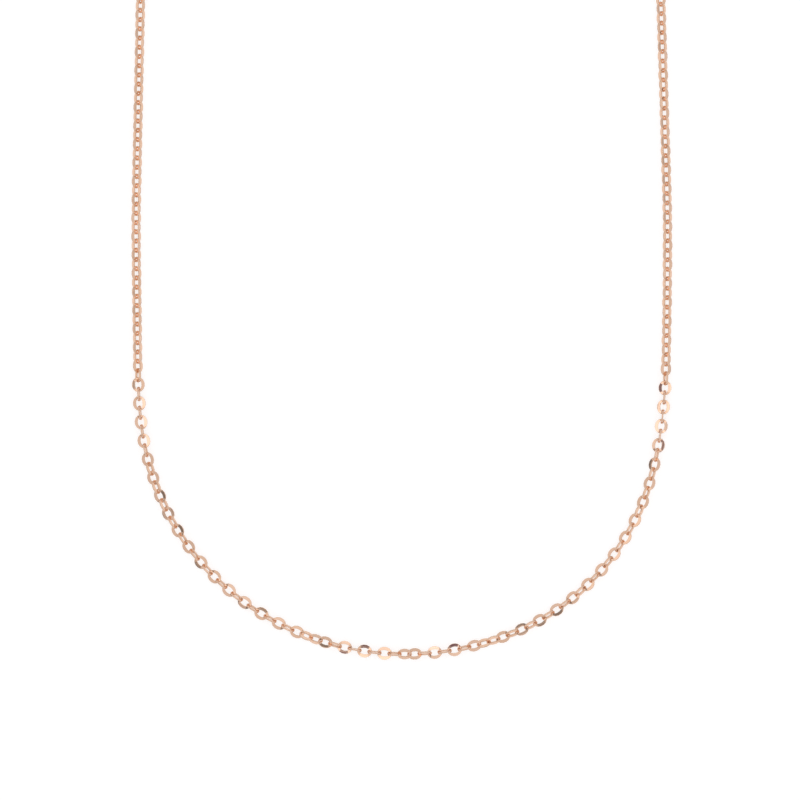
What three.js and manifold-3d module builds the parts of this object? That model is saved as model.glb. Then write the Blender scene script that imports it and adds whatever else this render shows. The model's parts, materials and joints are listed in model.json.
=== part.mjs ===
// Chain necklace, laid open on a flat surface: an oval-link chain in a long U, with a lobster
// clasp on its right end and a plain closing ring on its left end.
// Millimetres. +X is to the right, +Y runs from the front of the neck to the nape, +Z is up.
// Along the chain, s is the distance from the lowest point of the curve: plus to the right end,
// minus to the left end.
import * as THREE from 'three';
import { mergeVertices } from 'three/addons/utils/BufferGeometryUtils.js';
import Module from 'manifold-3d';

// Link: an oval ring of flattened wire
const LINK_LENGTH = 3.4;
const LINK_WIDTH = 2.92;
const LINK_THICKNESS = 0.47;
const SIDE_BAND = 0.72;
const END_BAND = 0.53;
const LINK_SIDES = 8;

// Chain: links hang in each other with a little play, and lie closer together up the strands
const RUN_COUNT = 50;
const LINKS_PER_RUN = 4;
const LINK_PLAY = 0.07;
const MIDDLE_LINK_AT = -0.1;
const WELD = 0.06;
const LEFT_SLACK = { amount: 0.185, starts: 22, full: 120 };
const RIGHT_SLACK = { amount: 0.13, starts: 45, full: 110 };

// Curve of each half, from the lowest point outwards: millimetres of chain, degrees turned
const LEFT_BENDS = [
  { span: 36, turn: 33.2 },
  { span: 36, turn: 36.2 },
  { span: 9, turn: 8.9 },
  { span: 9, turn: 7.2 },
  { span: 9, turn: 3.5 },
  { span: 27, turn: 0.4 },
  { span: 14, turn: 1.8 },
];
const RIGHT_BENDS = [
  { span: 24, turn: 21 },
  { span: 12, turn: 13 },
  { span: 36, turn: 38.8 },
  { span: 9, turn: 7.6 },
  { span: 18, turn: 8.2 },
  { span: 27, turn: 1.2 },
  { span: 14, turn: 2 },
];

// Roll of the chain about its own line: where along the chain, degrees
const ROLLS = [
  { at: -225, roll: -90 },
  { at: -205, roll: -45 },
  { at: -100, roll: -45 },
  { at: -94, roll: 0 },
  { at: -83, roll: 0 },
  { at: -78, roll: 27 },
  { at: -61, roll: 27 },
  { at: -56, roll: 18 },
  { at: -26, roll: 18 },
  { at: -20, roll: 45 },
  { at: -13, roll: 90 },
  { at: -4, roll: 90 },
  { at: 6, roll: 180 },
  { at: 11.5, roll: 185 },
  { at: 15.6, roll: 205 },
  { at: 20, roll: 230 },
  { at: 27, roll: 246 },
  { at: 62, roll: 246 },
  { at: 67, roll: 240 },
  { at: 76, roll: 240 },
  { at: 82, roll: 270 },
  { at: 94, roll: 270 },
  { at: 100, roll: 315 },
  { at: 200, roll: 315 },
  { at: 220, roll: 360 },
];

// Rings at the chain's ends
const JUMP_RING_RADIUS = 1.8;
const JUMP_RING_WIRE = 0.6;
const END_RING_RADIUS = 2.5;
const END_RING_WIRE = 0.8;
const RING_SEGMENTS = 20;
const RING_SIDES = 6;
const RING_PLAY = 0.08;
const TIP_PLAY = 0.02;

// Lobster clasp: u runs from the tail hole to the tip, v across it, w up through it
const CLASP_THICKNESS = 2.2;
const CLASP_HALF_WIDTH = 2.3;
const CLASP_HALF_LENGTH = 3.5;
const TAIL_THICKNESS = 0.7;
const TAIL_BAND = 0.5;
const NECK_LENGTH = 0.4;
const NECK_WIDTH = 1.5;
const CHEEK = 0.5;
const PIVOT_UP = 1.8;
const SLOT_BELOW_PIVOT = 1.0;
const SLOT_ABOVE_PIVOT = 0.55;
const JAW_RADIUS = 4.3;
const BACK_WALL = 1.2;
const CLASP_GAP = 0.08;
const GATE_WALL = 1.15;
const GATE_THICKNESS = 1.7;
const LEVER_WIDTH = 0.9;
const LEVER_ALONG = 1.2;
const THUMB_REACH = 2.9;
const THUMB_DROP = 0.35;
const THUMB_RADIUS = 0.55;
const BOSS_RADIUS = 0.75;
const PIN_RADIUS = 0.35;
const PIN_PLAY = 0.07;
const TRIGGER_PRESS = THREE.MathUtils.degToRad(18);
const SPRING_SHARE = 4 / 15;
const SPRING_RADIUS = 0.56;
const SPRING_TURNS = 1;
const CURVE_SEGMENTS = 32;

const LINK_COUNT = RUN_COUNT * LINKS_PER_RUN;
const SLOT_HALF = CLASP_THICKNESS / 2 - CHEEK;
const SPRING_WIRE = SPRING_SHARE * SLOT_HALF;
const EYE = LINK_LENGTH / 2 - END_BAND;
const TAUT_PITCH = LINK_LENGTH - 2 * END_BAND - LINK_PLAY;
const JUMP_RING_BORE = JUMP_RING_RADIUS - JUMP_RING_WIRE;

const wasm = await Module();
wasm.setup();

const roseGold = { color: 0xd9a184, roughness: 0.18, metalness: 1.0 };
const steel = { color: 0xb9bcc0, roughness: 0.3, metalness: 1.0 };

// ---------- solids ----------

function toSolid(geometry) {
  const bare = geometry.clone();
  bare.deleteAttribute('normal');
  bare.deleteAttribute('uv');
  const merged = mergeVertices(bare, 1e-4);
  return new wasm.Manifold(new wasm.Mesh({
    numProp: 3,
    vertProperties: new Float32Array(merged.attributes.position.array),
    triVerts: new Uint32Array(merged.index.array),
  }));
}

function toGeometry(solid) {
  const mesh = solid.getMesh();
  const geometry = new THREE.BufferGeometry();
  geometry.setAttribute('position', new THREE.BufferAttribute(mesh.vertProperties, 3));
  geometry.setIndex(new THREE.BufferAttribute(mesh.triVerts, 1));
  geometry.computeVertexNormals();
  return geometry;
}

function named(name, geometry, finish) {
  const mesh = new THREE.Mesh(geometry, new THREE.MeshStandardMaterial(finish));
  mesh.name = name;
  return mesh;
}

// A flat plate of an outline in u and v, centred on w = 0
function plate(points, thickness) {
  const geometry = new THREE.ExtrudeGeometry(new THREE.Shape(points), {
    depth: thickness,
    bevelEnabled: false,
  });
  geometry.translate(0, 0, -thickness / 2);
  return toSolid(geometry);
}

function disc(u, v, radius, thickness) {
  const geometry = new THREE.CylinderGeometry(radius, radius, thickness, CURVE_SEGMENTS);
  geometry.rotateX(Math.PI / 2);
  geometry.translate(u, v, 0);
  return toSolid(geometry);
}

function block(uFrom, uTo, vFrom, vTo, wFrom, wTo) {
  const geometry = new THREE.BoxGeometry(uTo - uFrom, vTo - vFrom, wTo - wFrom);
  geometry.translate((uFrom + uTo) / 2, (vFrom + vTo) / 2, (wFrom + wTo) / 2);
  return toSolid(geometry);
}

// A flat bar between two points in the plane of u and v
function bar(from, to, width, thickness) {
  const along = to.clone().sub(from);
  const geometry = new THREE.BoxGeometry(along.length(), width, thickness);
  geometry.translate(along.length() / 2, 0, 0);
  geometry.rotateZ(along.angle());
  geometry.translate(from.x, from.y, 0);
  return toSolid(geometry);
}

// ---------- the chain's line ----------

function smoothStep(from, to, x) {
  const t = THREE.MathUtils.clamp((x - from) / (to - from), 0, 1);
  return t * t * (3 - 2 * t);
}

// Point of the curve at distance s, in the plane of the surface
function pointAt(s) {
  let left = Math.abs(s);
  let heading = 0;
  let x = 0;
  let y = 0;
  const bends = s < 0 ? LEFT_BENDS : RIGHT_BENDS;
  for (const { span, turn } of [...bends, { span: Infinity, turn: 0 }]) {
    const run = Math.min(left, span);
    const swing = turn === 0 ? 0 : THREE.MathUtils.degToRad(turn) * run / span;
    const chord = swing === 0 ? run : 2 * run / swing * Math.sin(swing / 2);
    x += chord * Math.cos(heading + swing / 2);
    y += chord * Math.sin(heading + swing / 2);
    heading += swing;
    left -= run;
  }
  return new THREE.Vector2(Math.sign(s) * x, y);
}

function rollAt(s) {
  const next = ROLLS.findIndex((key) => key.at > s);
  if (next === 0) {
    return THREE.MathUtils.degToRad(ROLLS[0].roll);
  }
  if (next < 0) {
    return THREE.MathUtils.degToRad(ROLLS.at(-1).roll);
  }
  const [a, b] = [ROLLS[next - 1], ROLLS[next]];
  const share = (s - a.at) / (b.at - a.at);
  return THREE.MathUtils.degToRad(THREE.MathUtils.lerp(a.roll, b.roll, share));
}

function pitchAt(s) {
  const slack = s < 0 ? LEFT_SLACK : RIGHT_SLACK;
  return TAUT_PITCH - slack.amount * smoothStep(slack.starts, slack.full, Math.abs(s));
}

// Half the height of a link rolled about the chain's line
function halfHeight(roll) {
  return LINK_WIDTH / 2 * Math.abs(Math.sin(roll)) + LINK_THICKNESS / 2 * Math.abs(Math.cos(roll));
}

// Distance s of each link's centre, walked out both ways from the middle link
function linkStations() {
  const middle = LINK_COUNT / 2;
  const stations = new Array(LINK_COUNT);
  stations[middle] = MIDDLE_LINK_AT;
  for (let i = middle + 1; i < LINK_COUNT; i += 1) {
    stations[i] = stations[i - 1] + pitchAt(stations[i - 1]);
  }
  for (let i = middle - 1; i >= 0; i -= 1) {
    stations[i] = stations[i + 1] - pitchAt(stations[i + 1]);
  }
  return stations;
}

// Each link's centre, and its axes: ahead along the chain, across the oval, and out of its face
function layLinks() {
  const centres = linkStations().map((s) => {
    const spot = pointAt(s);
    const roll = rollAt(s);
    const z = Math.max(halfHeight(roll), halfHeight(roll + Math.PI / 2));
    return { roll, centre: new THREE.Vector3(spot.x, spot.y, z) };
  });
  return centres.map(({ roll, centre }, i) => {
    const before = centres[Math.max(i - 1, 0)].centre;
    const after = centres[Math.min(i + 1, LINK_COUNT - 1)].centre;
    const ahead = after.clone().sub(before).normalize();
    const side = new THREE.Vector3(0, 0, 1).cross(ahead).normalize();
    const up = ahead.clone().cross(side);
    const turned = roll + (i % 2 === 0 ? Math.PI / 2 : 0);
    const across = side.clone().multiplyScalar(Math.cos(turned)).addScaledVector(up, Math.sin(turned));
    const face = ahead.clone().cross(across);
    return { centre, ahead, across, face };
  });
}

// ---------- the chain ----------

// Points of a many-sided oval round the origin, with flats at its ends and sides
function oval(back, front, halfWidth) {
  const points = [];
  const flat = Math.cos(Math.PI / LINK_SIDES);
  for (let k = 0; k < LINK_SIDES; k += 1) {
    const angle = (k + 0.5) * 2 * Math.PI / LINK_SIDES;
    const reach = Math.cos(angle) > 0 ? front : back;
    points.push(new THREE.Vector2(Math.cos(angle) / flat * reach, Math.sin(angle) / flat * halfWidth));
  }
  return points;
}

function linkSolid(link, eyeBack, eyeFront) {
  const outline = new THREE.Shape(oval(LINK_LENGTH / 2, LINK_LENGTH / 2, LINK_WIDTH / 2));
  outline.holes.push(new THREE.Path(oval(eyeBack, eyeFront, LINK_WIDTH / 2 - SIDE_BAND)));
  const geometry = new THREE.ExtrudeGeometry(outline, { depth: LINK_THICKNESS, bevelEnabled: false });
  geometry.translate(0, 0, -LINK_THICKNESS / 2);
  const place = new THREE.Matrix4().makeBasis(link.ahead, link.across, link.face);
  geometry.applyMatrix4(place.setPosition(link.centre));
  return toSolid(geometry);
}

// One run: neighbouring links meet where they hang in each other, and its end links stay free
function runGeometry(links, first) {
  let run = null;
  for (let i = first; i < first + LINKS_PER_RUN; i += 1) {
    const eyes = [i - 1, i + 1].map((other) => {
      const inRun = other >= first && other < first + LINKS_PER_RUN;
      return inRun ? (links[i].centre.distanceTo(links[other].centre) - WELD) / 2 : EYE;
    });
    const link = linkSolid(links[i], eyes[0], eyes[1]);
    run = run === null ? link : run.add(link);
  }
  return toGeometry(run);
}

function runName(index) {
  return `chain_run_${String(index + 1).padStart(2, '0')}`;
}

// The hinge between two runs turns about the end wire of one of its two links, in turn
function runPivot(links, parentLink, childLink, order) {
  const onParent = order % 2 === 0;
  const link = links[onParent ? parentLink : childLink];
  const other = links[onParent ? childLink : parentLink];
  const outwards = Math.sign(other.centre.clone().sub(link.centre).dot(link.ahead));
  const reach = outwards * (LINK_LENGTH / 2 - END_BAND / 2);
  const sense = order % 4 < 2 ? 1 : -1;
  return {
    point: link.centre.clone().addScaledVector(link.ahead, reach),
    axis: link.across.clone().multiplyScalar(sense),
  };
}

function makeChain(links) {
  const chain = new THREE.Group();
  const rootRun = RUN_COUNT / 2;
  for (let run = 0; run < RUN_COUNT; run += 1) {
    const first = run * LINKS_PER_RUN;
    const last = first + LINKS_PER_RUN - 1;
    const mesh = named(runName(run), runGeometry(links, first), roseGold);
    if (run > rootRun) {
      mesh.userData.parent = runName(run - 1);
      mesh.userData.pivot = runPivot(links, first - 1, first, run - rootRun - 1);
    }
    if (run < rootRun) {
      mesh.userData.parent = runName(run + 1);
      mesh.userData.pivot = runPivot(links, last + 1, last, rootRun - run - 1);
    }
    chain.add(mesh);
  }
  return chain;
}

// ---------- rings ----------

function ring(radius, wire) {
  return new THREE.TorusGeometry(radius - wire / 2, wire / 2, RING_SIDES, RING_SEGMENTS);
}

// Half the width of a circle at a given rise from its centre, none beyond the circle
function reachAt(radius, rise) {
  return Math.sqrt(Math.max(0, radius * radius - rise * rise));
}

// A jump ring stands upright in the end link's eye. u = 0 is the end link's centre, w = 0 the surface
function jumpRing(name, linkHeight) {
  const rise = JUMP_RING_RADIUS - (linkHeight - LINK_THICKNESS / 2);
  const u = EYE - RING_PLAY + reachAt(JUMP_RING_BORE, rise);
  const geometry = ring(JUMP_RING_RADIUS, JUMP_RING_WIRE);
  geometry.rotateX(Math.PI / 2);
  geometry.translate(u, 0, JUMP_RING_RADIUS);
  const mesh = named(name, geometry, roseGold);
  mesh.userData.pivot = {
    point: new THREE.Vector3(LINK_LENGTH / 2 - END_BAND / 2, 0, linkHeight),
    axis: new THREE.Vector3(0, 1, 0),
  };
  return { mesh, u };
}

// The closing ring lies in the jump ring's bore, clear of the end link's tip, its far side on the surface
function endRing(jumpU) {
  const radius = END_RING_RADIUS - END_RING_WIRE / 2;
  const nearU = Math.max(jumpU, LINK_LENGTH / 2 + TIP_PLAY + END_RING_WIRE / 2);
  const nearHeight = JUMP_RING_RADIUS
    - reachAt(JUMP_RING_BORE - END_RING_WIRE / 2 - RING_PLAY, nearU - jumpU);
  const lean = Math.asin((nearHeight - END_RING_WIRE / 2) / (2 * radius));
  const geometry = ring(END_RING_RADIUS, END_RING_WIRE);
  geometry.translate(radius, 0, 0);
  geometry.rotateY(lean);
  geometry.translate(nearU, 0, nearHeight);
  const mesh = named('end_ring', geometry, roseGold);
  mesh.userData.pivot = {
    point: new THREE.Vector3(nearU, 0, nearHeight),
    axis: new THREE.Vector3(0, 1, 0),
  };
  return mesh;
}

// ---------- lobster clasp ----------

// Where the jump ring passes through the clasp's tail, and how wide its hole has to be
function tailHole(jumpU) {
  const low = CLASP_THICKNESS / 2 - TAIL_THICKNESS / 2;
  const high = CLASP_THICKNESS / 2 + TAIL_THICKNESS / 2;
  const inner = reachAt(JUMP_RING_BORE, JUMP_RING_RADIUS - low);
  const outer = reachAt(JUMP_RING_RADIUS, JUMP_RING_RADIUS - high);
  return { u: jumpU + (inner + outer) / 2, radius: (outer - inner) / 2 + RING_PLAY };
}

function claspOutline(start) {
  const points = [];
  for (let k = 0; k < CURVE_SEGMENTS; k += 1) {
    const angle = k * 2 * Math.PI / CURVE_SEGMENTS;
    const u = start + CLASP_HALF_LENGTH * (1 + Math.cos(angle));
    points.push(new THREE.Vector2(u, CLASP_HALF_WIDTH * Math.sin(angle)));
  }
  return points;
}

function thumbAt(pivot) {
  return new THREE.Vector2(pivot.x - THUMB_DROP, pivot.y - THUMB_REACH);
}

function claspBody(start, pivotU, hole) {
  const tall = 2 * CLASP_THICKNESS;
  const wide = 2 * CLASP_HALF_WIDTH;
  const tailRadius = hole.radius + TAIL_BAND;
  const pivot = new THREE.Vector2(pivotU, 0);
  const pressedThumb = thumbAt(pivot).rotateAround(pivot, -TRIGGER_PRESS);
  const neck = block(
    0, pivotU - SLOT_BELOW_PIVOT, -NECK_WIDTH / 2, NECK_WIDTH / 2, -TAIL_THICKNESS / 2, TAIL_THICKNESS / 2,
  );
  const tail = disc(0, 0, tailRadius, TAIL_THICKNESS)
    .add(neck)
    .subtract(disc(0, 0, hole.radius, tall));
  const jaw = disc(pivotU, 0, JAW_RADIUS, tall).intersect(block(
    pivotU + SLOT_ABOVE_PIVOT, start + 2 * CLASP_HALF_LENGTH,
    BACK_WALL - CLASP_HALF_WIDTH, wide, -tall, tall,
  ));
  const slot = block(
    pivotU - SLOT_BELOW_PIVOT, pivotU + SLOT_ABOVE_PIVOT + CLASP_GAP, -wide, wide, -SLOT_HALF, SLOT_HALF,
  ).add(bar(pivot, pressedThumb, LEVER_WIDTH + 2 * CLASP_GAP, 2 * SLOT_HALF));
  return plate(claspOutline(start), CLASP_THICKNESS)
    .subtract(jaw)
    .subtract(slot)
    .add(tail)
    .subtract(disc(pivotU, 0, PIN_RADIUS + PIN_PLAY, tall));
}

function trigger(start, pivotU) {
  const base = 2 * SLOT_HALF - 2 * CLASP_GAP;
  const pivot = new THREE.Vector2(pivotU, 0);
  const gateFoot = new THREE.Vector2(pivotU + LEVER_ALONG, GATE_WALL + LEVER_WIDTH / 2);
  const thumb = thumbAt(pivot);
  const tall = 2 * CLASP_THICKNESS;
  const gate = plate(claspOutline(start), GATE_THICKNESS)
    .intersect(disc(pivotU, 0, JAW_RADIUS - CLASP_GAP, tall))
    .intersect(block(
      pivotU + SLOT_ABOVE_PIVOT + 2 * CLASP_GAP, start + 2 * CLASP_HALF_LENGTH,
      GATE_WALL, 2 * CLASP_HALF_WIDTH, -tall, tall,
    ));
  const springRecess = disc(pivotU, 0, BOSS_RADIUS + CLASP_GAP, tall)
    .intersect(block(0, tall * 2, -tall, tall, 0, tall));
  return bar(pivot, gateFoot, LEVER_WIDTH, base)
    .add(bar(pivot, thumb, LEVER_WIDTH, base))
    .add(disc(thumb.x, thumb.y, THUMB_RADIUS, GATE_THICKNESS))
    .add(disc(pivotU, 0, BOSS_RADIUS, base))
    .subtract(springRecess)
    .subtract(disc(pivotU, 0, PIN_RADIUS + PIN_PLAY, tall))
    .add(gate);
}

// A coil round the pin, one end laid along the slot towards the tail, the other along the lever
function springGeometry(pivotU) {
  const stepsPerTurn = 12;
  const pitch = 1.2 * SPRING_WIRE;
  const lowest = SPRING_WIRE;
  const points = [new THREE.Vector3(pivotU - SLOT_BELOW_PIVOT + SPRING_WIRE, SPRING_RADIUS, lowest)];
  const steps = SPRING_TURNS * stepsPerTurn + stepsPerTurn / 2;
  for (let k = 0; k <= steps; k += 1) {
    const angle = Math.PI / 2 - k * 2 * Math.PI / stepsPerTurn;
    points.push(new THREE.Vector3(
      pivotU + SPRING_RADIUS * Math.cos(angle),
      SPRING_RADIUS * Math.sin(angle),
      lowest + pitch * k / stepsPerTurn,
    ));
  }
  points.push(new THREE.Vector3(pivotU - SPRING_RADIUS, -SPRING_RADIUS, points.at(-1).z));
  const wire = new THREE.Shape();
  wire.absarc(0, 0, SPRING_WIRE / 2, 0, 2 * Math.PI);
  return new THREE.ExtrudeGeometry(wire, {
    steps: 3 * stepsPerTurn,
    curveSegments: 3,
    extrudePath: new THREE.CatmullRomCurve3(points),
  });
}

function makeClasp(jumpU) {
  const hole = tailHole(jumpU);
  const start = hole.radius + TAIL_BAND + NECK_LENGTH;
  const pivotU = start + PIVOT_UP;
  const clasp = new THREE.Group();
  clasp.position.set(hole.u, 0, CLASP_THICKNESS / 2);
  const body = named('lobster_body', toGeometry(claspBody(start, pivotU, hole)), roseGold);
  const lever = named('lobster_trigger', toGeometry(trigger(start, pivotU)), roseGold);
  const pinGeometry = new THREE.CylinderGeometry(PIN_RADIUS, PIN_RADIUS, CLASP_THICKNESS, 16);
  pinGeometry.rotateX(Math.PI / 2);
  pinGeometry.translate(pivotU, 0, 0);
  const pin = named('trigger_pin', pinGeometry, roseGold);
  const spring = named('trigger_spring', springGeometry(pivotU), steel);
  body.userData.pivot = { point: new THREE.Vector3(0, 0, 0), axis: new THREE.Vector3(0, 0, 1) };
  lever.userData.pivot = { point: new THREE.Vector3(pivotU, 0, 0), axis: new THREE.Vector3(0, 0, -1) };
  clasp.add(body, lever, pin, spring);
  return clasp;
}

// ---------- assembly ----------

// A frame at an end link: u outwards along the chain, w up, on the surface
function endFrame(link, outwards) {
  const group = new THREE.Group();
  const heading = Math.atan2(link.ahead.y * outwards, link.ahead.x * outwards);
  group.position.set(link.centre.x, link.centre.y, 0);
  group.rotation.z = heading;
  return group;
}

const necklace = new THREE.Group();
const links = layLinks();
necklace.add(makeChain(links));

const rightEnd = endFrame(links.at(-1), 1);
const claspRing = jumpRing('clasp_jump_ring', links.at(-1).centre.z);
rightEnd.add(claspRing.mesh, makeClasp(claspRing.u));

const leftEnd = endFrame(links[0], -1);
const closingRing = jumpRing('end_jump_ring', links[0].centre.z);
leftEnd.add(closingRing.mesh, endRing(closingRing.u));
necklace.add(rightEnd, leftEnd);

// The origin is under the middle of the whole layout, on the surface
necklace.updateMatrixWorld(true);
const box = new THREE.Box3().setFromObject(necklace, true);
const middle = box.getCenter(new THREE.Vector3());
necklace.position.set(-middle.x, -middle.y, -box.min.z);
necklace.updateMatrixWorld(true);

export default necklace;
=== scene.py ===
"""Chain necklace: the visible model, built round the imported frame.

Lengths in the classes are millimetres; meshes are in metres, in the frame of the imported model.
Along the chain, s is the distance from the lowest point of its curve: plus to the right end,
minus to the left end.
"""

import json
import logging
import math
from dataclasses import asdict, dataclass, field
from enum import Enum

import bmesh
import bpy
from mathutils import Matrix, Vector


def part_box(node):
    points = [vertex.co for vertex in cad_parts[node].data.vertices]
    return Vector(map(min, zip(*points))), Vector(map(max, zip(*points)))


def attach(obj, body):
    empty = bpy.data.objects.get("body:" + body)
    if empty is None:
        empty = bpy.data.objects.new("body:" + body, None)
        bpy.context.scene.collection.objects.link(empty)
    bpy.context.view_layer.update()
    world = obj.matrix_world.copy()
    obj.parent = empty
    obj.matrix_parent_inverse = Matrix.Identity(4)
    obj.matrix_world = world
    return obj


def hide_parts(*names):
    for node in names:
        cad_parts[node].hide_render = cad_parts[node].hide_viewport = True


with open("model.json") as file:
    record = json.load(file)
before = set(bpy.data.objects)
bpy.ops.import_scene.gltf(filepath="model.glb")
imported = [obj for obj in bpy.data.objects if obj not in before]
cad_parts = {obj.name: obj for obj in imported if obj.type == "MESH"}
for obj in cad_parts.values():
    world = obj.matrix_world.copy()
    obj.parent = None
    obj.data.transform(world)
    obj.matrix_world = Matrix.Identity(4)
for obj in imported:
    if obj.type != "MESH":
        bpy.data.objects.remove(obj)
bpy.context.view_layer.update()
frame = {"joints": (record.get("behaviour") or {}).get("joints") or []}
MM = 0.001
UP = Vector((0.0, 0.0, 1.0))
# Height of the fine reliefs on the metals, and what a Wave texture's scale counts in a band
BUMP_DEPTH = 0.01 * MM
WAVE_RATE = 20.0
LOG = logging.getLogger("necklace")

Colour = tuple[float, float, float]
Material = bpy.types.Material
Node = bpy.types.Node
Outline = list[tuple[float, float]]
Piece = bpy.types.Object
Socket = bpy.types.NodeSocket


class Slot(Enum):
    """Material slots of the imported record."""

    CHAIN = "rose_gold_chain"
    FITTINGS = "rose_gold_fittings"
    SPRING = "spring_steel"


# ---------- node helpers ----------


class NodeTree:
    """A short way to fill a node tree."""

    def __init__(self, tree: bpy.types.NodeTree) -> None:
        """Wraps a tree.

        Args:
            tree: the node tree to fill.
        """
        self.tree = tree

    def add(self, kind: str, inputs: dict | None = None, **settings: object) -> Node:
        """Adds a node, and sets or links its inputs.

        Args:
            kind: the node's type name.
            inputs: values or output sockets by input name or number.
            **settings: the node's own properties.

        Returns:
            The new node.
        """
        node = self.tree.nodes.new(kind)
        for name, value in settings.items():
            setattr(node, name, value)
        for key, value in (inputs or {}).items():
            socket = node.inputs[key]
            if isinstance(value, Socket):
                self.tree.links.new(value, socket)
            else:
                socket.default_value = value
        return node

    def math(self, operation: str, a: object, b: object = 0.0, c: object = 0.0) -> Socket:
        """Adds a Math node.

        Args:
            operation: the node's operation.
            a: first value or socket.
            b: second value or socket.
            c: third value or socket.

        Returns:
            The result's socket.
        """
        values = {0: a, 1: b, 2: c}
        return self.add("ShaderNodeMath", values, operation=operation).outputs[0]

    def vector(
        self, operation: str, a: object, b: object = None, scale: object = None
    ) -> Socket:
        """Adds a Vector Math node.

        Args:
            operation: the node's operation.
            a: first vector or socket.
            b: second vector or socket, where the operation takes one.
            scale: the factor of a SCALE operation.

        Returns:
            The result's socket.
        """
        values: dict = {0: a}
        if b is not None:
            values[1] = b
        if scale is not None:
            values["Scale"] = scale
        node = self.add("ShaderNodeVectorMath", values, operation=operation)
        return node.outputs["Value" if operation in ("LENGTH", "DOT_PRODUCT") else "Vector"]

    def join(self, value: Socket, node: Node, name: str) -> None:
        """Links a socket to a node's input."""
        self.tree.links.new(value, node.inputs[name])

    def mix(self, share: Socket, first: object, second: object) -> Socket:
        """Mixes two colours, each given as a value or a socket, by the share of the second."""
        values = {0: share, 6: first, 7: second}
        return self.add("ShaderNodeMix", values, data_type="RGBA").outputs[2]

    def bump(self, height: Socket, strength: float, shader: Node) -> None:
        """Gives a shader a fine relief."""
        values = {"Height": height, "Strength": strength, "Distance": BUMP_DEPTH}
        self.join(self.add("ShaderNodeBump", values).outputs[0], shader, "Normal")


class GeometryTree(NodeTree):
    """A Geometry Nodes group with named inputs, ended by Realize Instances and Set Material."""

    def __init__(self, name: str, inputs: dict[str, str]) -> None:
        """Starts the group.

        Args:
            name: the group's name.
            inputs: socket types by input name, after Geometry and before Material.
        """
        super().__init__(bpy.data.node_groups.new(name, "GeometryNodeTree"))
        face = self.tree.interface
        face.new_socket("Geometry", in_out="INPUT", socket_type="NodeSocketGeometry")
        self.sockets = {
            label: face.new_socket(label, in_out="INPUT", socket_type=kind).identifier
            for label, kind in {**inputs, "Material": "NodeSocketMaterial"}.items()
        }
        face.new_socket("Geometry", in_out="OUTPUT", socket_type="NodeSocketGeometry")
        self.source = self.add("NodeGroupInput").outputs

    def attribute(self, kind: str, name: str) -> Socket:
        """Reads a named attribute of a data type."""
        node = self.add("GeometryNodeInputNamedAttribute", {"Name": name}, data_type=kind)
        return node.outputs["Attribute"]

    def store(
        self, geometry: Socket, name: str, value: Socket, kind: str = "FLOAT", domain: str = "POINT"
    ) -> Socket:
        """Stores a named attribute.

        Args:
            geometry: the geometry that gets it.
            name: the attribute's name.
            value: its value.
            kind: its data type.
            domain: what it is stored on.

        Returns:
            The geometry's socket.
        """
        values = {"Geometry": geometry, "Name": name, "Value": value}
        node = self.add("GeometryNodeStoreNamedAttribute", values, data_type=kind, domain=domain)
        return node.outputs[0]

    def end(self, geometry: Socket) -> None:
        """Ends the group.

        Args:
            geometry: the finished geometry, before its instances are realized.
        """
        real = self.add("GeometryNodeRealizeInstances", {"Geometry": geometry})
        dressed = {"Geometry": real.outputs[0], "Material": self.source["Material"]}
        made = self.add("GeometryNodeSetMaterial", dressed)
        self.add("NodeGroupOutput", {"Geometry": made.outputs[0]})

    def grow(self, name: str, seed_mesh: bpy.types.Mesh, values: dict[str, object]) -> Piece:
        """Runs the group on a mesh and keeps the result as a plain mesh.

        Args:
            name: the new object's name.
            seed_mesh: the mesh that goes in.
            values: the group's inputs by name.

        Returns:
            The finished object, with no modifier left.
        """
        piece = bpy.data.objects.new(name, seed_mesh)
        bpy.context.scene.collection.objects.link(piece)
        modifier = piece.modifiers.new("grow", "NODES")
        modifier.node_group = self.tree
        for label, value in values.items():
            modifier[self.sockets[label]] = value
        return settle(piece)


# ---------- mesh helpers ----------


def settle(piece: Piece) -> Piece:
    """Turns an object's evaluated shape into its own plain mesh.

    Args:
        piece: an object with modifiers or curve data.

    Returns:
        A mesh object of the same name, with no modifiers.
    """
    bpy.context.view_layer.update()
    graph = bpy.context.evaluated_depsgraph_get()
    mesh = bpy.data.meshes.new_from_object(
        piece.evaluated_get(graph), preserve_all_data_layers=True, depsgraph=graph
    )
    name = piece.name
    if piece.type == "MESH":
        piece.modifiers.clear()
        piece.data = mesh
        mesh.name = name
        return piece
    bpy.data.objects.remove(piece)
    return mesh_object(name, mesh)


def mesh_object(name: str, mesh: bpy.types.Mesh) -> Piece:
    """Puts a mesh in the scene.

    Args:
        name: the object's name.
        mesh: its mesh.

    Returns:
        The new object.
    """
    mesh.name = name
    piece = bpy.data.objects.new(name, mesh)
    bpy.context.scene.collection.objects.link(piece)
    return piece


def basis(x: Vector, y: Vector, z: Vector, origin: Vector) -> Matrix:
    """The matrix whose columns are three axes and an origin.

    Args:
        x: first axis.
        y: second axis.
        z: third axis.
        origin: the place of the local origin.

    Returns:
        A 4 by 4 matrix.
    """
    turn = Matrix((x, y, z)).transposed().to_4x4()
    return Matrix.Translation(origin) @ turn


def hand_over(piece: Piece, body: str, nodes: list[str]) -> None:
    """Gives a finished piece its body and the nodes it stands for.

    Args:
        piece: the finished mesh.
        body: the body that it rides on.
        nodes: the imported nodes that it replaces.
    """
    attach(piece, body)
    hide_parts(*nodes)
    LOG.info("%s: %d faces on %s", piece.name, len(piece.data.polygons), body)


# ---------- finishes ----------


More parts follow.
